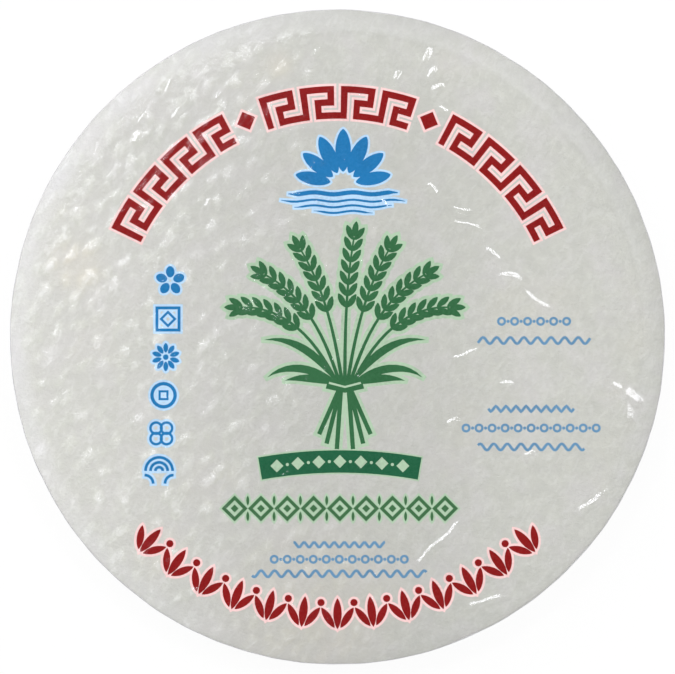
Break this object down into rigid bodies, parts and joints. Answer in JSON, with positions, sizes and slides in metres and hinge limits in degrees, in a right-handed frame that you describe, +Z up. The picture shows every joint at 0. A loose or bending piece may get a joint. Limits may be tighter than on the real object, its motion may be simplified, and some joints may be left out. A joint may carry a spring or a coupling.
{
  "type": "sealed pack of round rice paper wrappers",
  "caption": "Flat round stack of dried rice paper wrappers, sealed in clear shrunk film with a printed face, lying on its back.",
  "frame": {"origin": "centre of the underside, on the plane that the pack rests on", "axes": "+Z up out of the printed face, +Y to the top of the print, +X to its right"},
  "size_m": [0.2222, 0.222, 0.0223],
  "materials": {
    "clear_film": "gloss",
    "rice_paper": "satin",
    "red_print": "gloss",
    "green_print": "gloss",
    "blue_print": "gloss"
  },
  "bodies": {
    "root": {"wrapper_pack": "clear_film"}
  },
  "joints": []
}
